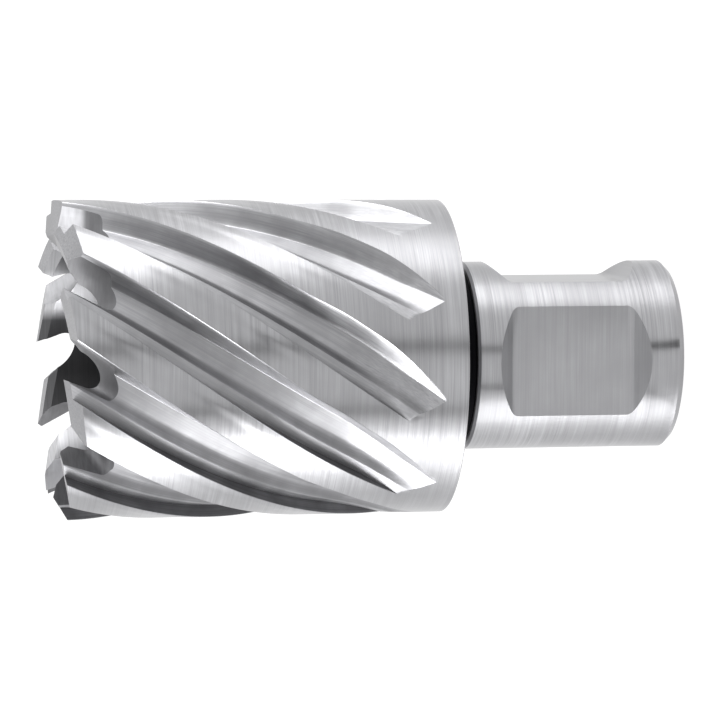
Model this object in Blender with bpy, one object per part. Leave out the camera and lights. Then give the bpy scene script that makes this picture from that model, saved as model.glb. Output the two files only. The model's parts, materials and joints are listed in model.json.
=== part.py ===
import math

import bmesh
import bpy

MM = 0.001

# Overall sizes
CUT_DIAMETER = 32.0 * MM
WALL_THICKNESS = 4.5 * MM
BODY_LENGTH = 39.5 * MM
REAR_THICKNESS = 4.5 * MM
BACK_TAPER = 0.15 * MM
BORE_CORNER = 1.0 * MM
PILOT_DIAMETER = 6.5 * MM

# Shank with two flats for side screws
SHANK_DIAMETER = 19.05 * MM
SHANK_LENGTH = 21.2 * MM
NECK_LENGTH = 2.3 * MM
SHANK_END_CHAMFER = 0.6 * MM
SHANK_ROOT_CHAMFER = 0.25 * MM
NECK_DIAMETER = 17.4 * MM
FLAT_DEPTH = 1.75 * MM
FLAT_LENGTH = 12.0 * MM
FLAT_START = 5.2 * MM
FLAT_SHOULDER = 45.0
FLAT_TURN = -95.2
FLAT_SPACING = 90.0
FLAT_COUNT = 2

# Flutes, with turns in degrees from each tooth's line
FLUTE_COUNT = 10
LEAD = 145.0 * MM
EDGE_TURN = -101.5
RAKE_DEPTH = 1.3 * MM
RAKE_TURN = -0.5
RAKE_HOOK = 1.0
LEDGE_TURN = 4.0
FLOOR_TURN = 9.0
FLOOR_DEPTH = 2.1 * MM
HEEL_FOOT_TURN = 17.5
HEEL_TOP_TURN = 21.2
HEEL_ROUNDING = 0.28
HEEL_FOOT_SHARE = 0.97
HEEL_FLARE_TURN = 7.0

# Run-out of the flutes, with the travel from where it starts
RUNOUT_GAP = 1.9 * MM
RUNOUT_LENGTH = 11.2 * MM
RUNOUT_SLANT = 3.6 * MM
RUNOUT_FOOT_TURN = 15.3
FOOT_SHIFT_START = 1.5 * MM
FOOT_SHIFT_LENGTH = 6.0 * MM
TOP_RISE_TURN = 1.3
TOP_RISE_START = -3.0 * MM
TOP_RISE_LENGTH = 4.5 * MM
TOP_DROP_TURN = 6.6
TOP_DROP_START = 4.8 * MM
TOP_DROP_POWER = 1.7

# Gullets through the wall, with turns in degrees from each tooth's line
GULLET_DEPTH = 5.3 * MM
GULLET_ROUND = 1.8 * MM
GULLET_SLOPE = 32.0
GULLET_FRONT_TURN = 3.7
GULLET_FRONT_FLARE = 1.6
GULLET_FRONT_LEAN_TURN = 3.15
GULLET_BACK_TURN = 20.3
GULLET_BACK_FLARE = 2.2
GULLET_BACK_LEAN_TURN = 4.5

# Teeth of two kinds by turns, pointed ones and flatter ones
TIP_INSETS = (2.2 * MM, 3.0 * MM)
OUTER_BEVELS = (33.0, 7.5)
INNER_BEVELS = (15.0, 12.0)
MOUTH_WIDTH = 1.0 * MM
MOUTH_BEVEL = 40.0
END_RELIEF = 11.0
END_FRONT_TURN = 3.0
END_BACK_TURN = 1.5

# Mesh fineness and the reach of cutters past the surface
ROUND_STEPS = 96
SWEEP_STEPS = 25
ARC_STEPS = 8
HEEL_STEPS = 3
GULLET_STEPS = 4
CORNER_STEPS = 3
END_STEPS = 4
OVERCUT = 3.2 * MM
CLEAR = 1.5 * MM

STEEL_COLOR = (0.62, 0.62, 0.64, 1.0)
STEEL_ROUGHNESS = 0.28

CUT_RADIUS = CUT_DIAMETER / 2
BORE_RADIUS = CUT_RADIUS - WALL_THICKNESS
SHANK_RADIUS = SHANK_DIAMETER / 2
BODY_START = SHANK_LENGTH + NECK_LENGTH
TOTAL_LENGTH = BODY_START + BODY_LENGTH
PITCH = 360.0 / FLUTE_COUNT
OUTSIDE_RADIUS = CUT_RADIUS + OVERCUT
INSIDE_RADIUS = BORE_RADIUS - CLEAR
MOUTH_RADIUS = BORE_RADIUS + MOUTH_WIDTH


def clear_scene():
    for item in list(bpy.data.objects):
        bpy.data.objects.remove(item, do_unlink=True)


def steel_material():
    steel = bpy.data.materials.new("ground_steel")
    steel.use_nodes = True
    shader = steel.node_tree.nodes["Principled BSDF"]
    shader.inputs["Base Color"].default_value = STEEL_COLOR
    shader.inputs["Metallic"].default_value = 1.0
    shader.inputs["Roughness"].default_value = STEEL_ROUGHNESS
    steel.diffuse_color = STEEL_COLOR
    return steel


def add_object(name, mesh_data):
    item = bpy.data.objects.new(name, mesh_data)
    bpy.context.collection.objects.link(item)
    return item


def polar(radius, turn, height):
    angle = math.radians(turn)
    return (radius * math.cos(angle), radius * math.sin(angle), height)


def edge_turn(height):
    """Turn of the first tooth's line at a height."""
    return EDGE_TURN + 360.0 * (height - TOTAL_LENGTH) / LEAD


def arc(center_x, center_z, radius, start, end, steps):
    points = []
    for step in range(steps + 1):
        angle = math.radians(start + (end - start) * step / steps)
        points.append((center_x + radius * math.cos(angle), center_z + radius * math.sin(angle)))
    return points


def turned_blank():
    """The blank before fluting, turned from one closed profile."""
    rear_radius = CUT_RADIUS - BACK_TAPER
    bore_floor = BODY_START + REAR_THICKNESS
    neck = NECK_DIAMETER / 2
    profile = [
        (CUT_RADIUS, TOTAL_LENGTH),
        (rear_radius, BODY_START),
        (neck, BODY_START),
        (neck, SHANK_LENGTH),
        (SHANK_RADIUS - SHANK_ROOT_CHAMFER, SHANK_LENGTH),
        (SHANK_RADIUS, SHANK_LENGTH - SHANK_ROOT_CHAMFER),
        (SHANK_RADIUS, SHANK_END_CHAMFER),
        (SHANK_RADIUS - SHANK_END_CHAMFER, 0.0),
        (PILOT_DIAMETER / 2, 0.0),
        (PILOT_DIAMETER / 2, bore_floor),
    ]
    profile += arc(BORE_RADIUS - BORE_CORNER, bore_floor + BORE_CORNER, BORE_CORNER, -90, 0, CORNER_STEPS)
    profile.append((BORE_RADIUS, TOTAL_LENGTH))

    mesh = bmesh.new()
    verts = [mesh.verts.new((x, 0.0, z)) for x, z in profile]
    for index, vert in enumerate(verts):
        mesh.edges.new((vert, verts[(index + 1) % len(verts)]))
    data = bpy.data.meshes.new("annular_cutter")
    mesh.to_mesh(data)
    mesh.free()

    blank = add_object("annular_cutter", data)
    spin = blank.modifiers.new("turning", "SCREW")
    spin.angle = math.tau
    spin.steps = ROUND_STEPS
    spin.render_steps = ROUND_STEPS
    spin.use_merge_vertices = True
    spin.merge_threshold = 0.00001
    spin.use_smooth_shade = True
    return blank


def add_loft(mesh, rings):
    """Skin a closed solid over rings of equal length, with capped ends."""
    loops = [[mesh.verts.new(point) for point in ring] for ring in rings]
    count = len(loops[0])
    for lower, upper in zip(loops, loops[1:]):
        for index in range(count):
            after = (index + 1) % count
            mesh.faces.new((lower[index], lower[after], upper[after], upper[index]))
    mesh.faces.new(list(reversed(loops[0])))
    mesh.faces.new(loops[-1])


def cutter_object(name, mesh):
    bmesh.ops.triangulate(mesh, faces=mesh.faces[:])
    bmesh.ops.recalc_face_normals(mesh, faces=mesh.faces[:])
    data = bpy.data.meshes.new(name)
    mesh.to_mesh(data)
    mesh.free()
    cutter = add_object(name, data)
    cutter.hide_render = True
    cutter.display_type = "WIRE"
    return cutter


def cut(target, cutter):
    step = target.modifiers.new(cutter.name, "BOOLEAN")
    step.operation = "DIFFERENCE"
    step.solver = "EXACT"
    step.object = cutter


def lift(travel, turn):
    """Share of the full depth left after some travel into the run-out."""
    slant = RUNOUT_SLANT * (1.0 - min(1.0, turn / RUNOUT_FOOT_TURN))
    return 1.0 - (max(0.0, travel) / (RUNOUT_LENGTH - slant)) ** 2


def ease(share):
    share = max(0.0, min(1.0, share))
    return share * share * (3 - 2 * share)


def heel_turns(travel):
    """Turns of the foot and of the top of the heel wall."""
    foot_share = ease((travel - FOOT_SHIFT_START) / FOOT_SHIFT_LENGTH)
    foot = HEEL_FOOT_TURN + (RUNOUT_FOOT_TURN - HEEL_FOOT_TURN) * foot_share
    rise = TOP_RISE_TURN * ease((travel - TOP_RISE_START) / TOP_RISE_LENGTH)
    drop_share = max(0.0, travel - TOP_DROP_START) / (RUNOUT_LENGTH - TOP_DROP_START)
    top = HEEL_TOP_TURN + rise - TOP_DROP_TURN * drop_share ** TOP_DROP_POWER
    return foot, max(foot, top)


def heel_points(foot, top, foot_depth):
    """Turn and depth along the heel wall, which curves out of the floor."""
    bend_turn = foot + (top - foot) * HEEL_ROUNDING
    bend_depth = foot_depth * HEEL_FOOT_SHARE
    points = []
    for step in range(1, HEEL_STEPS + 1):
        share = step / HEEL_STEPS
        rest = 1.0 - share
        turn = rest * rest * foot + 2 * rest * share * bend_turn + share * share * top
        depth = rest * rest * foot_depth + 2 * rest * share * bend_depth
        points.append((turn, depth))
    return points


def flute_section(height, tooth):
    """One cross section of a flute, rising out of the body at the run-out."""
    travel = BODY_START + RUNOUT_GAP + RUNOUT_LENGTH - height
    foot, top = heel_turns(travel)
    hook = RAKE_HOOK / RAKE_DEPTH
    rake_depth = RAKE_DEPTH * lift(travel, 0.0)
    step_turn = (LEDGE_TURN + FLOOR_TURN) / 2
    step_depth = (RAKE_DEPTH + FLOOR_DEPTH) / 2
    middle_turn = (FLOOR_TURN + foot) / 2
    points = [(RAKE_TURN + hook * OVERCUT, -OVERCUT), (RAKE_TURN - hook * rake_depth, rake_depth)]
    for turn, depth in (
        (LEDGE_TURN, RAKE_DEPTH),
        (step_turn, step_depth),
        (FLOOR_TURN, FLOOR_DEPTH),
        (middle_turn, FLOOR_DEPTH),
        (foot, FLOOR_DEPTH),
    ):
        points.append((turn, depth * lift(travel, turn)))
    points += heel_points(foot, top, FLOOR_DEPTH * lift(travel, foot))
    points.append((top + HEEL_FLARE_TURN, -OVERCUT))
    start = edge_turn(height) + tooth * PITCH
    return [polar(CUT_RADIUS - depth, start + turn, height) for turn, depth in points]


def flute_cutter():
    mesh = bmesh.new()
    top = TOTAL_LENGTH + CLEAR
    bottom = BODY_START + RUNOUT_GAP - CLEAR
    for tooth in range(FLUTE_COUNT):
        heights = [top + (bottom - top) * step / SWEEP_STEPS for step in range(SWEEP_STEPS + 1)]
        add_loft(mesh, [flute_section(height, tooth) for height in heights])
    return cutter_object("flute_cutter", mesh)


def gullet_outline(radius):
    """Turn and depth below the tips round the slot of one gullet at a radius."""
    inward = CUT_RADIUS - FLOOR_DEPTH - radius
    depth = GULLET_DEPTH - inward * math.tan(math.radians(GULLET_SLOPE))
    front = GULLET_FRONT_TURN - GULLET_FRONT_LEAN_TURN * inward / WALL_THICKNESS
    back = GULLET_BACK_TURN + GULLET_BACK_FLARE + GULLET_BACK_LEAN_TURN * inward / WALL_THICKNESS
    front_foot = front + GULLET_FRONT_FLARE
    middle = (front_foot + GULLET_BACK_TURN) / 2
    half = (GULLET_BACK_TURN - front_foot) / 2
    straight = depth - GULLET_ROUND
    points = [(front, -OVERCUT), (front, 0.0)]
    for step in range(ARC_STEPS + 1):
        angle = math.pi * step / ARC_STEPS
        points.append((middle - half * math.cos(angle), straight + GULLET_ROUND * math.sin(angle)))
    points += [(back, 0.0), (back, -OVERCUT)]
    return points


def gullet_cutter():
    mesh = bmesh.new()
    for tooth in range(FLUTE_COUNT):
        rings = []
        for step in range(GULLET_STEPS + 1):
            radius = INSIDE_RADIUS + (OUTSIDE_RADIUS - INSIDE_RADIUS) * step / GULLET_STEPS
            ring = []
            for turn, depth in gullet_outline(radius):
                height = TOTAL_LENGTH - depth
                start = edge_turn(height) + tooth * PITCH
                ring.append(polar(radius, start + turn, height))
            rings.append(ring)
        add_loft(mesh, rings)
    return cutter_object("gullet_cutter", mesh)


def end_height(radius, turn, kind):
    """Height of a tooth's end face, which falls away from its tip."""
    tip_radius = CUT_RADIUS - TIP_INSETS[kind]
    outer_drop = max(0.0, radius - tip_radius) * math.tan(math.radians(OUTER_BEVELS[kind]))
    inner_width = max(0.0, tip_radius - max(radius, MOUTH_RADIUS))
    mouth_width = max(0.0, MOUTH_RADIUS - radius)
    inner_drop = inner_width * math.tan(math.radians(INNER_BEVELS[kind]))
    inner_drop += mouth_width * math.tan(math.radians(MOUTH_BEVEL))
    behind = math.radians(GULLET_FRONT_TURN - turn) * tip_radius
    relief = behind * math.tan(math.radians(END_RELIEF))
    return TOTAL_LENGTH - inner_drop - outer_drop - relief


def end_cutter():
    mesh = bmesh.new()
    front = GULLET_FRONT_TURN + END_FRONT_TURN
    back = GULLET_BACK_TURN - PITCH - END_BACK_TURN
    top = TOTAL_LENGTH + CLEAR
    for tooth in range(FLUTE_COUNT):
        kind = tooth % len(TIP_INSETS)
        tip_radius = CUT_RADIUS - TIP_INSETS[kind]
        rings = []
        for step in range(END_STEPS + 1):
            turn = front + (back - front) * step / END_STEPS
            ring = []
            for radius in (INSIDE_RADIUS, MOUTH_RADIUS, tip_radius, OUTSIDE_RADIUS):
                height = end_height(radius, turn, kind)
                start = edge_turn(height) + tooth * PITCH
                ring.append(polar(radius, start + turn, height))
            start = edge_turn(top) + tooth * PITCH
            ring.append(polar(OUTSIDE_RADIUS, start + turn, top))
            ring.append(polar(INSIDE_RADIUS, start + turn, top))
            rings.append(ring)
        add_loft(mesh, rings)
    return cutter_object("end_cutter", mesh)


def flat_cutter():
    mesh = bmesh.new()
    reach = FLAT_DEPTH + CLEAR
    flare = reach / math.tan(math.radians(FLAT_SHOULDER))
    face = SHANK_RADIUS - FLAT_DEPTH
    outline = [
        (face, FLAT_START),
        (face + reach, FLAT_START - flare),
        (face + reach, FLAT_START + FLAT_LENGTH + flare),
        (face, FLAT_START + FLAT_LENGTH),
    ]
    for index in range(FLAT_COUNT):
        turn = math.radians(FLAT_TURN + FLAT_SPACING * index)
        cos_turn = math.cos(turn)
        sin_turn = math.sin(turn)
        rings = []
        for side in (-SHANK_RADIUS, SHANK_RADIUS):
            ring = []
            for out, height in outline:
                ring.append((out * cos_turn - side * sin_turn, out * sin_turn + side * cos_turn, height))
            rings.append(ring)
        add_loft(mesh, rings)
    return cutter_object("flat_cutter", mesh)


def main():
    clear_scene()
    cutter_body = turned_blank()
    cutter_body.data.materials.append(steel_material())
    cut(cutter_body, flute_cutter())
    cut(cutter_body, gullet_cutter())
    cut(cutter_body, end_cutter())
    cut(cutter_body, flat_cutter())


main()
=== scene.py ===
import json
import math

import bmesh
import bpy
from mathutils import Matrix, Vector

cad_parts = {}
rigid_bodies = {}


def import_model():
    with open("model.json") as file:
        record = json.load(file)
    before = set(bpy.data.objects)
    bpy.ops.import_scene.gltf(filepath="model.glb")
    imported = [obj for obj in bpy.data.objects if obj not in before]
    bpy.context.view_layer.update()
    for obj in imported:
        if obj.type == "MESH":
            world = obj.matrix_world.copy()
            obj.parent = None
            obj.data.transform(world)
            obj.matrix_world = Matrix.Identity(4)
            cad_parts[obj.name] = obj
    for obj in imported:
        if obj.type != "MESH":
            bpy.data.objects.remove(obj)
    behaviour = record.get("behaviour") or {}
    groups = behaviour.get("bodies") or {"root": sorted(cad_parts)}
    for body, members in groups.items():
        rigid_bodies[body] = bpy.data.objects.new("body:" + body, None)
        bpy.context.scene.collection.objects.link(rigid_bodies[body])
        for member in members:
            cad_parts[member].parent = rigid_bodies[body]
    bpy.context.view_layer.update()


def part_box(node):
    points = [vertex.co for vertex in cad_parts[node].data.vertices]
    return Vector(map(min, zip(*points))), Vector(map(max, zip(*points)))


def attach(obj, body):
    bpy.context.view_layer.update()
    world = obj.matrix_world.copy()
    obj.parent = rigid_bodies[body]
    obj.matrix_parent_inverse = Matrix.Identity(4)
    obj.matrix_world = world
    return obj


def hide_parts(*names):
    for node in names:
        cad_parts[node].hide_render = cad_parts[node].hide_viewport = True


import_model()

mm = 0.001
lowCorner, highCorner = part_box("annular_cutter")
toolLength = highCorner[2]
cutRadius = min(highCorner[0], highCorner[1], -lowCorner[0], -lowCorner[1])

toothCount = 10
pitch = 360.0 / toothCount
mergeDistance = 0.002 * mm
smoothAngle = 16.0

# the material slots of the body in their order
slots = ("outside", "flute", "wall", "bore", "gullet", "end", "flat", "rake", "neck")


def spot(radius, turn, height):
    angle = math.radians(turn)
    return Vector((radius * math.cos(angle), radius * math.sin(angle), height))


# turns are in degrees ahead of each tooth's line, depths are below the outside
body = {
    "rear": 23.5 * mm,
    "backTaper": 0.15 * mm,
    "rearEdge": 0.08 * mm,
    "boreRadius": 11.5 * mm,
    "boreFloor": 28.0 * mm,
    "boreCorner": 1.0 * mm,
    "pilotRadius": 3.25 * mm,
    "pilotEdge": 0.25 * mm,
}
shank = {
    "radius": 9.525 * mm,
    "length": 21.2 * mm,
    "endChamfer": 0.6 * mm,
    "rootChamfer": 0.25 * mm,
    "neckRadius": 8.7 * mm,
    "neckCorner": 0.12 * mm,
}
flute = {
    "lead": 145.0 * mm,
    "edgeTurn": -101.5,
    "rakeTurn": -0.5,
    "rakeDepth": 1.3 * mm,
    "hook": 0.77 / mm,
    "ledgeTurn": 4.0,
    "floorTurn": 9.0,
    "floorDepth": 2.1 * mm,
    "footTurn": 17.5,
    "topTurn": 21.2,
    "wallBend": (0.28, 0.97),
    "marginTurn": 2.6,
    "reliefTurn": 4.4,
    "relief": 0.05 * mm,
    "reliefEnd": 33.0 * mm,
    "reliefFade": 8.0 * mm,
    "brokenEdge": 0.05 * mm,
}
runout = {
    "start": 36.6 * mm,
    "length": 11.2 * mm,
    "slant": 3.6 * mm,
    "footTurn": 15.3,
    "footShift": (1.5 * mm, 6.0 * mm),
    "topRise": (-3.0 * mm, 4.5 * mm, 1.3),
    "topDrop": (4.8 * mm, 6.6, 1.7),
}


def helixTurn(height):
    return flute["edgeTurn"] + 360.0 * (height - toolLength) / flute["lead"]


def taperAt(height):
    return body["backTaper"] * (toolLength - height) / (toolLength - body["rear"])


def ease(share):
    share = max(0.0, min(1.0, share))
    return share * share * (3 - 2 * share)


def reach(turn):
    # travel at which a line of the flute comes out, which is longer towards the heel
    share = min(1.0, max(0.0, turn) / runout["footTurn"])
    return runout["length"] - runout["slant"] * (1.0 - share)


def heelTurns(travel):
    # turns of the foot and the top of the heel wall
    start, length = runout["footShift"]
    shift = runout["footTurn"] - flute["footTurn"]
    foot = flute["footTurn"] + shift * ease((travel - start) / length)
    start, length, turn = runout["topRise"]
    top = flute["topTurn"] + turn * ease((travel - start) / length)
    start, turn, power = runout["topDrop"]
    top -= turn * (max(0.0, travel - start) / (runout["length"] - start)) ** power
    return foot, max(foot, top)


def floorPlace(share, foot):
    # turn and full depth from the ledge's edge to the foot of the heel wall
    ledge, floor = flute["ledgeTurn"], flute["floorTurn"]
    shallow, full = flute["rakeDepth"], flute["floorDepth"]
    if share < 0.5:
        depth = shallow + (full - shallow) * math.sin(share * math.pi)
        return ledge + (floor - ledge) * share * 2, depth
    return floor + (foot - floor) * (share * 2 - 1), full


def columnPlace(zone, share, height):
    # turn and depth of one line of the fluted surface at a height
    travel = runout["start"] - height
    foot, top = heelTurns(travel)
    taper = taperAt(height)

    def deep(fullDepth, turn):
        return max(0.0, fullDepth * (1.0 - (max(0.0, travel) / reach(turn)) ** 2) - taper)

    rakeDeep = deep(flute["rakeDepth"], 0.0)
    footDeep = deep(flute["floorDepth"], foot)
    degreesAcross = math.degrees(1.0 / cutRadius)
    rakeBreak = min(flute["brokenEdge"], rakeDeep / 3)
    heelBreak = min(flute["brokenEdge"], footDeep / 3)
    edge = flute["rakeTurn"] - flute["hook"] * taper
    low = top - pitch + heelBreak * degreesAcross
    relief = flute["relief"] * ease((height - flute["reliefEnd"]) / flute["reliefFade"])

    if zone == "land":
        slope = edge - flute["marginTurn"] - flute["reliefTurn"]
        return low + (slope - low) * share, relief
    if zone == "slope":
        turn = edge - flute["marginTurn"] - flute["reliefTurn"] * (1.0 - share)
        return turn, relief * (1.0 - ease(share))
    if zone == "margin":
        front = edge - rakeBreak * degreesAcross
        return edge - flute["marginTurn"] + (front - edge + flute["marginTurn"]) * share, 0.0
    if zone == "rake":
        depth = rakeBreak + (rakeDeep - rakeBreak) * share
        return edge - flute["hook"] * depth, depth
    if zone == "ledge":
        start = edge - flute["hook"] * rakeDeep
        turn = start + (flute["ledgeTurn"] - start) * share
        return turn, deep(flute["rakeDepth"], turn)
    if zone == "floor":
        turn, fullDepth = floorPlace(share, foot)
        return turn, deep(fullDepth, turn)
    across, down = flute["wallBend"]
    rest = 1.0 - share
    bendTurn = foot + (top - foot) * across
    turn = rest * rest * foot + 2 * rest * share * bendTurn + share * share * top
    depth = rest * rest * footDeep + 2 * rest * share * footDeep * down
    return turn, max(depth, min(relief + heelBreak, footDeep))


# how far each zone of the land goes from the heel's end to the rake's end
landShares = {"land": (0.0, 0.6), "slope": (0.6, 0.8), "margin": (0.8, 1.0)}


def columnEnd(zone, share):
    # height at which one line of the flute comes out of the body
    def outAt(fullDepth, turn):
        height = body["rear"]
        for _ in range(4):
            height = runout["start"] - reach(turn) * math.sqrt(1.0 - taperAt(height) / fullDepth)
        return height

    heelEnd = outAt(flute["floorDepth"], runout["footTurn"])
    rakeEnd = outAt(flute["rakeDepth"], 0.0)
    if zone in landShares:
        low, high = landShares[zone]
        return heelEnd + (rakeEnd - heelEnd) * (low + (high - low) * share)
    if zone == "rake":
        return rakeEnd
    if zone == "ledge":
        return outAt(flute["rakeDepth"], flute["ledgeTurn"] * share)
    if zone == "floor":
        turn, fullDepth = floorPlace(share, runout["footTurn"])
        return outAt(fullDepth, turn)
    return heelEnd


# each zone's number of steps, and whether its last line is its own
zones = (
    ("land", 7, False),
    ("slope", 6, False),
    ("margin", 3, True),
    ("rake", 4, False),
    ("ledge", 4, False),
    ("floor", 16, False),
    ("heel", 14, True),
)
columns = []
for zone, steps, closed in zones:
    for step in range(steps + 1 if closed else steps):
        columns.append((zone, step / steps))
columnEnds = [columnEnd(zone, share) for zone, share in columns]

# numbers of rows in their order, from the body's rear edge round to its rear face
plainRows = 8
flutedRows = 92
boreRows = 34
cornerRows = 10
floorRows = 2
pilotRows = 5
shankRows = 12
neckRows = 3
rowGrowth = 1.25
floorEdge = 0.1 * mm
firstFluted = 1 + plainRows
firstBore = firstFluted + flutedRows + 1
firstShank = firstBore + boreRows + cornerRows + floorRows + pilotRows


def bodyRows():
    # radius, turn and height of each column, row by row, up the outside and down the inside
    rows = []
    endTurns = [columnPlace(*column, end)[0] for column, end in zip(columns, columnEnds)]
    firstTurn = columnPlace(*columns[0], toolLength)[0]
    boreTurns = [firstTurn + pitch * index / len(columns) for index in range(len(columns))]
    rear, edge = body["rear"], body["rearEdge"]
    rearTurn = helixTurn(rear)

    def plainRow(radius, height):
        return [(radius, rearTurn + turn, height) for turn in endTurns]

    def boreRow(radius, height):
        return [(radius, helixTurn(height) + turn, height) for turn in boreTurns]

    radius = cutRadius - taperAt(rear)
    rows.append(plainRow(radius - edge, rear))
    for step in range(plainRows):
        row = []
        for turn, end in zip(endTurns, columnEnds):
            height = rear + edge + (end - rear - edge) * step / plainRows
            row.append((cutRadius - taperAt(height), helixTurn(height) + turn, height))
        rows.append(row)
    for step in range(flutedRows + 1):
        row = []
        share = (step / flutedRows) ** rowGrowth
        for (zone, part), end in zip(columns, columnEnds):
            height = end + (toolLength - end) * share
            turn, depth = columnPlace(zone, part, height)
            if step == 0:
                depth = 0.0
            row.append((cutRadius - taperAt(height) - depth, helixTurn(height) + turn, height))
        rows.append(row)

    corner, bottom = body["boreCorner"], body["boreFloor"]
    cornerRadius = body["boreRadius"] - corner
    for step in range(boreRows + 1):
        height = toolLength + (bottom + corner - toolLength) * step / boreRows
        rows.append(boreRow(body["boreRadius"], height))
    for step in range(1, cornerRows + 1):
        angle = math.radians(90 * step / cornerRows)
        height = bottom + corner - corner * math.sin(angle)
        rows.append(boreRow(cornerRadius + corner * math.cos(angle), height))
    rows.append(boreRow(cornerRadius - floorEdge, bottom))
    pilot, pilotEdge = body["pilotRadius"], body["pilotEdge"]
    outer, inner = boreRow(cornerRadius, bottom), plainRow(pilot, 0.0)
    middle = (cornerRadius + pilot) / 2
    rows.append([(middle, (one[1] + other[1]) / 2, bottom) for one, other in zip(outer, inner)])
    rows.append(plainRow(pilot + pilotEdge, bottom))
    rows.append(plainRow(pilot, bottom - pilotEdge))
    rows.append(plainRow(pilot, bottom / 2))
    rows.append(plainRow(pilot, pilotEdge))
    rows.append(plainRow(pilot + pilotEdge, 0.0))
    wide, length = shank["radius"], shank["length"]
    root, chamfer = shank["rootChamfer"], shank["endChamfer"]
    rows.append(plainRow((wide - chamfer + pilot) / 2, 0.0))
    rows.append(plainRow(wide - chamfer, 0.0))
    rows.append(plainRow(wide, chamfer))
    for step in range(1, shankRows + 1):
        rows.append(plainRow(wide, chamfer + (length - root - chamfer) * step / shankRows))
    rows.append(plainRow(wide - root, length))
    neck, neckCorner = shank["neckRadius"], shank["neckCorner"]
    rows.append(plainRow(neck + neckCorner, length))
    rows.append(plainRow(neck, length + neckCorner))
    rows.append(plainRow(neck, rear - neckCorner))
    rows.append(plainRow(neck + neckCorner, rear))
    rows.append(plainRow((neck + radius) / 2, rear))
    return rows


def deselectAll():
    if bpy.context.object and bpy.context.object.mode != "OBJECT":
        bpy.ops.object.mode_set(mode="OBJECT")
    bpy.ops.object.select_all(action="DESELECT")


def cutAway(piece, tool):
    step = piece.modifiers.new("cut", "BOOLEAN")
    step.operation = "DIFFERENCE"
    step.solver = "MANIFOLD"
    step.object = tool
    deselectAll()
    bpy.context.view_layer.objects.active = piece
    piece.select_set(True)
    bpy.ops.object.modifier_apply(modifier=step.name)
    bpy.data.objects.remove(tool, do_unlink=True)


def flutedBody():
    # one tooth's share is a grid wrapped up the outside and down the inside
    # the other shares are turned copies of it
    rows = bodyRows()
    rowCount = len(rows)
    columnCount = len(columns)
    for row in rows:
        radius, turn, height = row[0]
        row.append((radius, turn + pitch, height))
    deselectAll()
    bpy.ops.mesh.primitive_grid_add(x_subdivisions=columnCount, y_subdivisions=rowCount, size=2.0)
    piece = bpy.context.object
    piece.name = "cutter_body"
    for look in looks:
        piece.data.materials.append(look)
    places = [
        (round((vertex.co.x + 1) / 2 * columnCount), round((vertex.co.y + 1) / 2 * rowCount))
        for vertex in piece.data.vertices
    ]
    for vertex, (column, row) in zip(piece.data.vertices, places):
        vertex.co = spot(*rows[row % rowCount][column])

    # each face takes the finish of its place before the doubles go
    zoneNames = [zone for zone, _ in columns] + [columns[0][0]]
    lastNeck = rowCount - 2
    for face in piece.data.polygons:
        column = min(places[index][0] for index in face.vertices)
        row = min(places[index][1] for index in face.vertices)
        zone, after = zoneNames[column], zoneNames[column + 1]
        place = "outside"
        if firstFluted <= row < firstBore - 1:
            if zone == "rake":
                place = "rake"
            elif zone == "heel" and after == "heel":
                place = "wall"
            elif zone in ("ledge", "floor"):
                place = "flute"
        elif firstBore - 1 <= row < firstShank:
            place = "bore"
        elif lastNeck - neckRows <= row < lastNeck:
            place = "neck"
        face.material_index = slots.index(place)

    shares = [piece]
    for index in range(1, toothCount):
        share = piece.copy()
        share.data = piece.data.copy()
        share.data.transform(Matrix.Rotation(math.radians(index * pitch), 4, "Z"))
        bpy.context.collection.objects.link(share)
        shares.append(share)
    deselectAll()
    for share in shares:
        share.select_set(True)
    bpy.context.view_layer.objects.active = piece
    bpy.ops.object.join()
    bpy.ops.object.mode_set(mode="EDIT")
    bpy.ops.mesh.select_all(action="SELECT")
    bpy.ops.mesh.remove_doubles(threshold=mergeDistance)
    bpy.ops.mesh.normals_make_consistent(inside=False)
    bpy.ops.object.mode_set(mode="OBJECT")
    return piece


gullet = {
    "depth": 5.3 * mm,
    "round": 1.8 * mm,
    "slope": 32.0,
    "frontTurn": 3.7,
    "frontFlare": 1.6,
    "frontLean": 0.7 / mm,
    "backTurn": 20.3,
    "backFlare": 2.2,
    "backLean": 1.0 / mm,
    "past": 3.2 * mm,
    "arcSteps": 22,
    "firstRadius": 10.0 * mm,
    "ringStep": 0.92 * mm,
    "rings": 11,
}


def gulletOutline(radius):
    # turns and depths below the end of the slot's outline at one radius
    inward = cutRadius - flute["floorDepth"] - radius
    depth = gullet["depth"] - inward * math.tan(math.radians(gullet["slope"]))
    front = gullet["frontTurn"] - inward * gullet["frontLean"]
    back = gullet["backTurn"] + gullet["backFlare"] + inward * gullet["backLean"]
    foot = front + gullet["frontFlare"]
    middle = (foot + gullet["backTurn"]) / 2
    half = (gullet["backTurn"] - foot) / 2
    straight = depth - gullet["round"]
    outline = [(front, -gullet["past"]), (front, 0.0)]
    for step in range(gullet["arcSteps"] + 1):
        angle = math.pi * step / gullet["arcSteps"]
        drop = straight + gullet["round"] * math.sin(angle)
        outline.append((middle - half * math.cos(angle), drop))
    outline += [(back, 0.0), (back, -gullet["past"])]
    return outline


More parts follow.
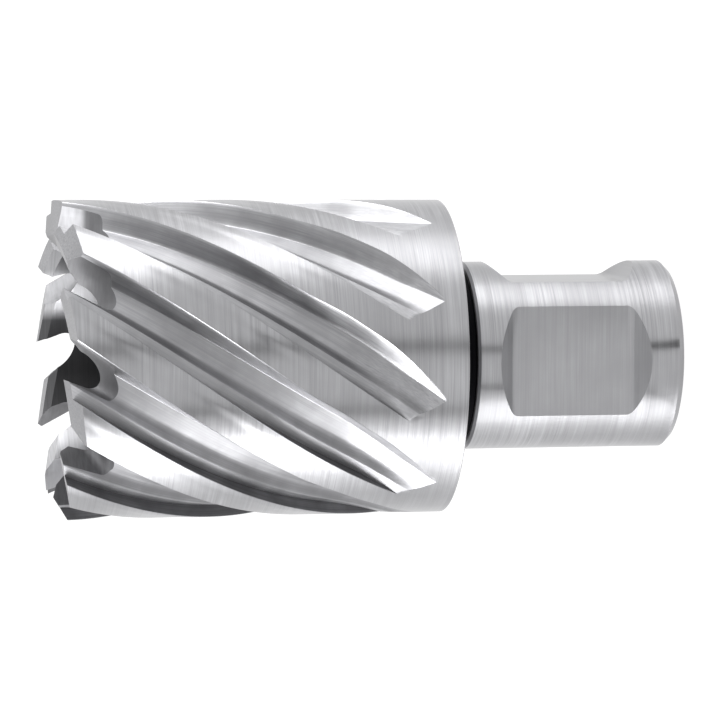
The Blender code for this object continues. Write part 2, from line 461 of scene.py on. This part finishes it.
def drawnThrough(rings):
    # a disc is extruded once for each further ring, and each new end is laid on its ring
    deselectAll()
    bpy.ops.mesh.primitive_circle_add(vertices=len(rings[0]), radius=1.0, fill_type="NGON")
    tool = bpy.context.object
    for vertex, place in zip(tool.data.vertices, rings[0]):
        vertex.co = place
    bpy.ops.object.mode_set(mode="EDIT")
    bpy.ops.mesh.select_mode(type="FACE")
    bpy.ops.mesh.select_all(action="SELECT")
    for low, high in zip(rings, rings[1:]):
        bpy.ops.mesh.extrude_region_move()
        for vertex in bmesh.from_edit_mesh(tool.data).verts:
            if vertex.select:
                nearest = min(range(len(low)), key=lambda index: (vertex.co - low[index]).length)
                vertex.co = high[nearest]
    bpy.ops.object.mode_set(mode="OBJECT")
    return tool


def gulletTool():
    # one slot through the wall for each tooth, skinned over its outline at several radii
    tools = []
    for index in range(toothCount):
        rings = []
        for step in range(gullet["rings"]):
            radius = gullet["firstRadius"] + gullet["ringStep"] * step
            ring = []
            for turn, depth in gulletOutline(radius):
                height = toolLength - depth
                ring.append(spot(radius, helixTurn(height) + index * pitch + turn, height))
            rings.append(ring)
        tools.append(drawnThrough(rings))
    return joined(tools, "gullet_tool")


def joined(tools, name):
    deselectAll()
    for tool in tools:
        tool.select_set(True)
    bpy.context.view_layer.objects.active = tools[0]
    bpy.ops.object.join()
    tool = bpy.context.object
    tool.name = name
    bpy.ops.object.mode_set(mode="EDIT")
    bpy.ops.mesh.select_all(action="SELECT")
    bpy.ops.mesh.quads_convert_to_tris()
    bpy.ops.mesh.normals_make_consistent(inside=False)
    bpy.ops.object.mode_set(mode="OBJECT")
    return tool


tooth = {
    "tipRadii": (13.8 * mm, 13.0 * mm),
    "outerBevels": (33.0, 7.5),
    "innerBevels": (15.0, 12.0),
    "mouthRadius": 12.5 * mm,
    "mouthBevel": 40.0,
    "relief": 11.0,
    "frontOverlap": 3.0,
    "backOverlap": 1.5,
    "inside": 1.5 * mm,
    "outside": 3.2 * mm,
    "above": 3.0 * mm,
    "steps": 12,
}


def fall(width, angle):
    return width * math.tan(math.radians(angle))


def endHeight(radius, turn, kind):
    # height of a tooth's end face, which falls away from its crest and behind its front
    tip = tooth["tipRadii"][kind]
    innerWidth = max(0.0, tip - max(radius, tooth["mouthRadius"]))
    mouthWidth = max(0.0, tooth["mouthRadius"] - radius)
    innerDrop = fall(innerWidth, tooth["innerBevels"][kind]) + fall(mouthWidth, tooth["mouthBevel"])
    outerDrop = fall(max(0.0, radius - tip), tooth["outerBevels"][kind])
    behind = math.radians(gullet["frontTurn"] - turn) * tip
    return toolLength - innerDrop - outerDrop - fall(behind, tooth["relief"])


def endTool():
    # a grid laid on each tooth's end face and pulled up past the top
    front = gullet["frontTurn"] + tooth["frontOverlap"]
    back = gullet["backTurn"] - pitch - tooth["backOverlap"]
    inner, outer = body["boreRadius"] - tooth["inside"], cutRadius + tooth["outside"]
    tools = []
    for index in range(toothCount):
        kind = index % 2
        radii = (inner, tooth["mouthRadius"], tooth["tipRadii"][kind], outer)
        deselectAll()
        steps = len(radii) - 1
        bpy.ops.mesh.primitive_grid_add(x_subdivisions=tooth["steps"], y_subdivisions=steps, size=2.0)
        tool = bpy.context.object
        bpy.ops.object.mode_set(mode="EDIT")
        mesh = bmesh.from_edit_mesh(tool.data)
        for vertex in mesh.verts:
            turn = front + (back - front) * (vertex.co.x + 1) / 2
            radius = radii[round((vertex.co.y + 1) / 2 * steps)]
            height = endHeight(radius, turn, kind)
            vertex.co = spot(radius, helixTurn(height) + index * pitch + turn, height)
        bpy.ops.mesh.select_all(action="SELECT")
        bpy.ops.mesh.extrude_region_move()
        for vertex in bmesh.from_edit_mesh(tool.data).verts:
            if vertex.select:
                vertex.co.z = toolLength + tooth["above"]
        bpy.ops.object.mode_set(mode="OBJECT")
        tools.append(tool)
    return joined(tools, "end_tool")


flat = {
    "face": 7.775 * mm,
    "start": 5.2 * mm,
    "length": 12.0 * mm,
    "turns": (-95.2, -5.2),
    "reach": 3.2 * mm,
    "width": 22.0 * mm,
    "corner": 0.45 * mm,
    "segments": 6,
}


def flatTool():
    # a block for each flat, wider outwards so that it leaves sloped shoulders
    tools = []
    middle = flat["start"] + flat["length"] / 2
    for turn in flat["turns"]:
        deselectAll()
        bpy.ops.mesh.primitive_cube_add(size=1.0)
        tool = bpy.context.object
        for vertex in tool.data.vertices:
            more = flat["reach"] if vertex.co.x > 0 else 0.0
            high = middle + vertex.co.z * (flat["length"] + 2 * more)
            vertex.co = Vector((flat["face"] + more, vertex.co.y * flat["width"], high))
        bpy.ops.object.mode_set(mode="EDIT")
        bpy.ops.mesh.select_all(action="DESELECT")
        mesh = bmesh.from_edit_mesh(tool.data)
        for edge in mesh.edges:
            ends = [vertex.co for vertex in edge.verts]
            inner = max(end.x for end in ends) < flat["face"] + flat["corner"]
            edge.select_set(inner and abs(ends[0].z - ends[1].z) < flat["corner"])
        bmesh.update_edit_mesh(tool.data)
        bpy.ops.mesh.bevel(offset=flat["corner"], segments=flat["segments"], affect="EDGES")
        bpy.ops.object.mode_set(mode="OBJECT")
        tool.data.transform(Matrix.Rotation(math.radians(turn), 4, "Z"))
        tools.append(tool)
    return joined(tools, "flat_tool")


class Wire:
    def __init__(self, tree, socket):
        self.tree = tree
        self.socket = socket

    def maths(self, operation, first, second=None):
        step = self.tree.nodes.new("ShaderNodeMath")
        step.operation = operation
        for index, value in enumerate((first, second)):
            if isinstance(value, Wire):
                self.tree.links.new(value.socket, step.inputs[index])
            elif value is not None:
                step.inputs[index].default_value = value
        return Wire(self.tree, step.outputs[0])

    def __add__(self, other):
        return self.maths("ADD", self, other)

    def __radd__(self, other):
        return self.maths("ADD", other, self)

    def __sub__(self, other):
        return self.maths("SUBTRACT", self, other)

    def __rsub__(self, other):
        return self.maths("SUBTRACT", other, self)

    def __mul__(self, other):
        return self.maths("MULTIPLY", self, other)

    def __rmul__(self, other):
        return self.maths("MULTIPLY", other, self)

    def fraction(self):
        return self.maths("FRACT", self)

    def cosine(self):
        return self.maths("COSINE", self)

    def sine(self):
        return self.maths("SINE", self)


class Finish:
    # adds any kind of node to the tree of a material or the world
    def __init__(self, holder):
        holder.use_nodes = True
        self.tree = holder.node_tree
        self.tree.nodes.clear()

    def node(self, kind, settings=None, values=None, output=0):
        step = self.tree.nodes.new(kind)
        for name, value in (settings or {}).items():
            setattr(step, name, value)
        for name, value in (values or {}).items():
            socket = step.inputs[name]
            if isinstance(value, Wire):
                self.tree.links.new(value.socket, socket)
            else:
                socket.default_value = value
        return Wire(self.tree, step.outputs[output]) if step.outputs else None


def between(finish, value, low, high, start=0.0, end=1.0):
    # eases from start to end while the value goes from low to high
    return finish.node(
        "ShaderNodeMapRange",
        settings={"interpolation_type": "SMOOTHSTEP"},
        values={0: value, 1: low, 2: high, 3: start, 4: end},
    )


def paintedAcrossRamp(finish, value, stops):
    # painted light and shade: tones at places from one side of the tool to the other
    step = finish.node("ShaderNodeValToRGB", values={0: value * (0.5 / cutRadius) + 0.5})
    points = step.socket.node.color_ramp.elements
    while len(points) < len(stops):
        points.new(1.0)
    for point, (place, tone) in zip(points, stops):
        point.position = place / cutRadius * 0.5 + 0.5
        point.color = (tone, tone, tone, 1.0)
    return step


# how the marks are mixed, and where the painted shade begins and ends
grain = {
    "fineShare": 0.6,
    "broadShare": 0.4,
    "detail": 2.0,
    "fineRoughness": 0.6,
    "cloudDetail": 3.0,
    "cloudRange": (0.35, 0.65),
    "strength": (0.5, 1.4),
    "hollowEdge": 0.02,
    "hollowRange": (2.0 * mm, 9.0 * mm),
    "hollowLeast": 0.1,
    "farRange": (0.0, 4.0 * mm),
    "paintedShadeColour": (0.004, 0.004, 0.005, 1.0),
}


def hollowPaintedShade(finish, look, x, y, wind):
    # painted shade: the hollow beside the ledge is darker, less so towards the top of the picture
    firstTooth = (flute["edgeTurn"] - 360.0 * toolLength / flute["lead"]) / pitch
    turn = (y.maths("ARCTAN2", y, x) - wind) * (toothCount / math.tau)
    share = (turn - firstTooth).fraction()
    low, middle, high = look["hollow"]
    risen = between(finish, share, low, low + grain["hollowEdge"])
    hollow = risen * between(finish, share, middle, high, 1.0, 0.0)
    least = grain["hollowLeast"]
    return 1.0 - hollow * between(finish, x, *grain["hollowRange"], look["hollowShade"], least)


def paintedLightAndShade(finish, look, x, y, z):
    # painted shade and light: deep inside it is darker than at its mouth, and its middle is darker
    # than its sides
    deepest, shallowest = look["mouth"]
    deepPlace, shallowPlace = toolLength - deepest, toolLength - shallowest
    mouth = between(finish, z, deepPlace, shallowPlace, look["inside"], 1.0)
    middle = look["middle"]
    near = (paintedAcrossRamp(finish, x, look["nearTones"]) - middle) * mouth + middle
    far = paintedAcrossRamp(finish, x, look["farTones"])
    if look["farMouth"]:
        far = (far - middle) * mouth + middle
    return near + (far - near) * between(finish, y, *grain["farRange"])


def noise(finish, vector, scale=1.0, detail=grain["detail"], roughness=0.5):
    values = {"Vector": vector, "Scale": scale, "Detail": detail, "Roughness": roughness}
    return finish.node("ShaderNodeTexNoise", values=values)


def mixed(finish, share, low, high):
    return finish.node(
        "ShaderNodeMix",
        settings={"data_type": "RGBA"},
        values={0: share, 6: low, 7: high},
        output=2,
    )


def steelFinish(name, look):
    material = bpy.data.materials.new(name)
    finish = Finish(material)
    place = finish.node("ShaderNodeTexCoord", output=3)
    apart = finish.node("ShaderNodeSeparateXYZ", values={0: place})
    x, y, z = (Wire(finish.tree, output) for output in apart.socket.node.outputs)
    fine, broad, along = look["fine"], look["broad"], look["long"]
    paintedShade = 1.0
    if look["marks"] == "flute":
        # unwinds the helix, so that the marks run along the flute
        wind = z * (math.tau / flute["lead"])
        across = x * wind.cosine() + y * wind.sine()
        aside = y * wind.cosine() - x * wind.sine()
        fineVector = {0: across * fine, 1: aside * fine, 2: z * along}
        broadVector = {0: across * broad, 1: aside * broad, 2: z * along}
        paintedShade = hollowPaintedShade(finish, look, x, y, wind)
    else:
        fineVector = {0: x * along, 1: y * along, 2: z * fine}
        broadVector = {0: x * along, 1: y * along, 2: z * broad}
    if look["mouth"]:
        paintedShade = paintedLightAndShade(finish, look, x, y, z)
    fineMarks = noise(
        finish,
        finish.node("ShaderNodeCombineXYZ", values=fineVector),
        roughness=grain["fineRoughness"],
    )
    broadMarks = noise(finish, finish.node("ShaderNodeCombineXYZ", values=broadVector))
    cloud = noise(finish, place, look["cloud"], grain["cloudDetail"])
    marks = fineMarks * grain["fineShare"] + broadMarks * grain["broadShare"] - 0.5
    lines = marks * between(finish, cloud, *grain["cloudRange"], *grain["strength"])
    patches = cloud - 0.5
    shade = lines * look["lineShade"] + patches * look["cloudShade"] + 0.5
    colour = mixed(finish, shade, look["dark"] + (1.0,), look["light"] + (1.0,))
    roughness = look["roughness"] + lines * look["lineRough"] + patches * look["cloudRough"]
    bump = finish.node(
        "ShaderNodeBump",
        values={"Height": lines, "Strength": look["bump"], "Distance": look["bumpDepth"]},
    )
    # the base colour is mixed towards near black by the painted light and shade
    surface = finish.node(
        "ShaderNodeBsdfPrincipled",
        values={
            "Base Color": mixed(finish, paintedShade, grain["paintedShadeColour"], colour),
            "Metallic": 1.0,
            "Roughness": roughness,
            "Anisotropic": look["anisotropic"],
            "Anisotropic Rotation": look["rotation"],
            "Normal": bump,
        },
    )
    finish.node("ShaderNodeOutputMaterial", values={"Surface": surface})
    return material


outsideLook = {
    "marks": "ring",
    "fine": 9000.0,
    "broad": 2600.0,
    "long": 90.0,
    "cloud": 160.0,
    "lineShade": 1.8,
    "cloudShade": 0.7,
    "dark": (0.26, 0.26, 0.269),
    "light": (0.44, 0.44, 0.455),
    "roughness": 0.33,
    "lineRough": 0.14,
    "cloudRough": 0.08,
    "bump": 0.3,
    "bumpDepth": 0.00002,
    "anisotropic": 0.7,
    "rotation": 0.25,
    "mouth": None,
}
fluteLook = dict(
    outsideLook,
    marks="flute",
    fine=7000.0,
    broad=1800.0,
    long=60.0,
    cloud=350.0,
    cloudShade=1.2,
    dark=(0.25, 0.25, 0.259),
    light=(0.41, 0.41, 0.424),
    anisotropic=0.4,
    rotation=0.4,
    roughness=0.43,
    hollow=(0.11, 0.16, 0.25),
    hollowShade=0.3,
)
wallLook = dict(
    fluteLook,
    dark=(0.24, 0.24, 0.248),
    light=(0.42, 0.42, 0.434),
    anisotropic=0.2,
    hollowShade=0.0,
)
# the rake wall is painted darker, as painted shade
rakeShadeLook = dict(wallLook, dark=(0.11, 0.11, 0.114), light=(0.23, 0.23, 0.238))
# painted light and shade inside the bore: light towards both sides, dark across the middle, and dark
# deep inside
borePaintedTones = (
    (-7.0 * mm, 0.95),
    (-5.8 * mm, 0.15),
    (4.1 * mm, 0.15),
    (5.3 * mm, 0.8),
    (8.4 * mm, 0.8),
    (9.2 * mm, 0.5),
)
boreLook = dict(
    outsideLook,
    dark=(0.40, 0.40, 0.413),
    light=(0.64, 0.64, 0.66),
    roughness=0.36,
    anisotropic=0.6,
    mouth=(11.0 * mm, 4.0 * mm),
    inside=0.04,
    nearTones=borePaintedTones,
    farTones=borePaintedTones,
    farMouth=True,
    middle=0.09,
)
# painted light and shade on the gullet walls: lighter towards the top and at the far sides, darker in
# the middle, with the side light fading deeper in the slot
gulletLook = dict(
    outsideLook,
    fine=4000.0,
    broad=1500.0,
    long=400.0,
    dark=(0.40, 0.40, 0.413),
    light=(0.62, 0.62, 0.64),
    roughness=0.62,
    anisotropic=0.0,
    mouth=(3.5 * mm, 2.9 * mm),
    inside=0.0,
    nearTones=((11.6 * mm, 0.38), (12.8 * mm, 1.0)),
    farTones=((-7.8 * mm, 0.85), (-6.8 * mm, 0.38), (3.5 * mm, 0.38), (5.3 * mm, 0.62)),
    farMouth=False,
    middle=0.38,
)
endLook = dict(
    outsideLook,
    fine=2500.0,
    broad=900.0,
    long=5000.0,
    anisotropic=0.0,
    roughness=0.36,
    dark=(0.22, 0.22, 0.228),
    light=(0.38, 0.38, 0.393),
)
flatLook = dict(outsideLook, roughness=0.38, lineShade=0.9)
# the neck groove is painted near black, as painted shade
neckShadeLook = dict(
    outsideLook,
    dark=(0.002, 0.002, 0.003),
    light=(0.008, 0.008, 0.009),
    roughness=0.6,
    anisotropic=0.0,
)

# in the order of the slots
looks = [
    steelFinish("ground_outside", outsideLook),
    steelFinish("ground_flute", fluteLook),
    steelFinish("flute_wall", wallLook),
    steelFinish("turned_bore", boreLook),
    steelFinish("milled_gullet", gulletLook),
    steelFinish("ground_end", endLook),
    steelFinish("ground_flat", flatLook),
    steelFinish("rake_wall", rakeShadeLook),
    steelFinish("painted_shade_neck", neckShadeLook),
]
print("finishes made:", len(looks))

cutterBody = flutedBody()
print("fluted body:", len(cutterBody.data.polygons), "faces")

for makeTool, place in ((gulletTool, "gullet"), (endTool, "end"), (flatTool, "flat")):
    slot = slots.index(place)
    tool = makeTool()
    for look in looks:
        tool.data.materials.append(look)
    for face in tool.data.polygons:
        face.material_index = slot
        # the bevel at the bore's mouth is turned with the bore
        if place == "end" and math.hypot(*face.center.xy) < tooth["mouthRadius"]:
            face.material_index = slots.index("bore")
    cutAway(cutterBody, tool)
    faces = cutterBody.data.polygons
    inSlot = sum(face.material_index == slot for face in faces)
    print("cut:", looks[slot].name, "on", inSlot, "of", len(faces), "faces")

deselectAll()
cutterBody.select_set(True)
bpy.context.view_layer.objects.active = cutterBody
bpy.ops.object.shade_smooth_by_angle(angle=math.radians(smoothAngle))
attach(cutterBody, "root")
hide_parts("annular_cutter")

# floor and light
studio = {
    "floorRadius": 3.0,
    "floorSides": 96,
    "floorDrop": 0.1 * mm,
    "floorColour": (0.86, 0.86, 0.86, 1.0),
    "floorGlow": 0.85,
    "floorStrength": 1.1,
    "white": (1.0, 1.0, 1.0, 1.0),
    "zenith": 1.25,
    "horizon": 1.0,
    "skyRange": (0.30, 0.75),
    "fill": 0.6,
}


def seenDirectly(finish):
    path = finish.node("ShaderNodeLightPath")
    outputs = path.socket.node.outputs
    camera = Wire(finish.tree, outputs["Is Camera Ray"])
    glossy = Wire(finish.tree, outputs["Is Glossy Ray"])
    through = Wire(finish.tree, outputs["Is Transmission Ray"])
    seen = camera + glossy + through
    return seen.maths("MINIMUM", seen, 1.0)


deselectAll()
bpy.ops.mesh.primitive_circle_add(
    vertices=studio["floorSides"],
    radius=studio["floorRadius"],
    fill_type="NGON",
    location=(0, 0, -studio["floorDrop"]),
)
floor = bpy.context.object
floor.name = "floor"
paleFloor = bpy.data.materials.new("pale_floor")
pale = Finish(paleFloor)
matt = pale.node("ShaderNodeBsdfDiffuse", values={"Color": studio["floorColour"]})
white = pale.node(
    "ShaderNodeEmission",
    values={"Color": studio["white"], "Strength": studio["floorStrength"]},
)
share = seenDirectly(pale) * studio["floorGlow"]
both = pale.node("ShaderNodeMixShader", values={0: share, 1: matt, 2: white})
pale.node("ShaderNodeOutputMaterial", values={"Surface": both})
floor.data.materials.append(paleFloor)

world = bpy.data.worlds.new("studio")
bpy.context.scene.world = world
sky = Finish(world)
direction = sky.node("ShaderNodeTexCoord", output=0)
parts = sky.node("ShaderNodeSeparateXYZ", values={0: direction})
up = Wire(sky.tree, parts.socket.node.outputs[2])
height = between(sky, up, *studio["skyRange"], studio["horizon"], studio["zenith"])
seen = seenDirectly(sky)
strength = seen * height + (1.0 - seen) * (height * studio["fill"])
glow = sky.node("ShaderNodeBackground", values={"Color": studio["white"], "Strength": strength})
sky.node("ShaderNodeOutputWorld", values={"Surface": glow})

# azimuth, width and power of each lamp, and what they share
lamps = {
    "upper_light": (79, 1.2, 40.0),
    "upper_wide_light": (96, 1.9, 18.0),
    "lower_light": (-74.3, 1.2, 60.0),
    "lower_wide_light": (-86, 1.9, 24.0),
}
lampStand = {
    "elevation": 16,
    "distance": 2.0,
    "tall": 1.7,
    "aim": Vector((0, 0, 0.03)),
}


def softBox(name, azimuth, width, power):
    # azimuth is measured from the camera's side, towards +X
    deselectAll()
    bpy.ops.object.light_add(type="AREA")
    lamp = bpy.context.object
    lamp.name = name
    lamp.data.shape = "RECTANGLE"
    lamp.data.size = width
    lamp.data.size_y = lampStand["tall"]
    lamp.data.energy = power
    turn, lift = math.radians(azimuth), math.radians(lampStand["elevation"])
    flatAway = Vector((math.sin(turn), -math.cos(turn), 0.0))
    away = flatAway * math.cos(lift) + Vector((0, 0, math.sin(lift)))
    lamp.location = lampStand["aim"] + away * lampStand["distance"]
    lamp.rotation_euler = (-away).to_track_quat("-Z", "Y").to_euler()
    lamp.visible_camera = False


for name, (azimuth, width, power) in lamps.items():
    softBox(name, azimuth, width, power)

# azimuth and half width of each card, and what they share
cards = {
    "card_upper": (6.5, 0.055),
    "card_lower": (-38.5, 0.05),
}
cardStand = {
    "start": 10.5 * mm,
    "bend": 0.5,
    "lift": 0.2 * mm,
    "colour": (0.0, 0.0, 0.0, 1.0),
}
greyCard = bpy.data.materials.new("grey_card")
greyNodes = Finish(greyCard)
greyMatt = greyNodes.node("ShaderNodeBsdfDiffuse", values={"Color": cardStand["colour"]})
greyNodes.node("ShaderNodeOutputMaterial", values={"Surface": greyMatt})


def darkCard(name, azimuth, width):
    # a narrow strip, which lies on the floor and then stands up beside the camera
    # it shows as a soft dark line along the steel
    deselectAll()
    bpy.ops.mesh.primitive_grid_add(x_subdivisions=1, y_subdivisions=2, size=2.0)
    card = bpy.context.object
    card.name = name
    turn = math.radians(azimuth)
    away = Vector((math.sin(turn), -math.cos(turn), 0.0))
    aside = Vector((away.y, -away.x, 0.0))
    for vertex in card.data.vertices:
        out = cardStand["start"] if vertex.co.y < -0.5 else cardStand["bend"]
        place = away * out + aside * vertex.co.x * width * out
        vertex.co = place + Vector((0, 0, cardStand["lift"] + max(0.0, vertex.co.y)))
    card.data.materials.append(greyCard)
    card.visible_camera = False
    card.visible_shadow = False


for name, (azimuth, width) in cards.items():
    darkCard(name, azimuth, width)

# the camera looks a little down on the tool, and is rolled so that it lies across the picture
view = {
    "lens": 185.0,
    "sensor": 36.0,
    "distance": 374.605 * mm,
    "elevation": 10.61,
    "roll": -0.695,
    "target": 31.25 * mm,
    "centre": (362.015, 356.43),
    "frame": 720.0,
}
deselectAll()
bpy.ops.object.camera_add()
camera = bpy.context.object
lift, roll = math.radians(view["elevation"]), math.radians(view["roll"])
forward = Vector((0, math.cos(lift), -math.sin(lift)))
side = Vector((1, 0, 0))
upward = side.cross(forward)
across = -math.cos(roll) * upward + math.sin(roll) * side
along = math.sin(roll) * upward + math.cos(roll) * side
stand = Matrix((across, along, -forward)).transposed().to_4x4()
stand.translation = Vector((0, 0, view["target"])) - forward * view["distance"]
camera.matrix_world = stand
camera.data.sensor_width = view["sensor"]
camera.data.lens = view["lens"]
camera.data.shift_x = (view["frame"] / 2 - view["centre"][0]) / view["frame"]
camera.data.shift_y = (view["centre"][1] - view["frame"] / 2) / view["frame"]
bpy.context.scene.camera = camera
bpy.context.scene.view_settings.view_transform = "Standard"
print("studio made")

deselectAll()
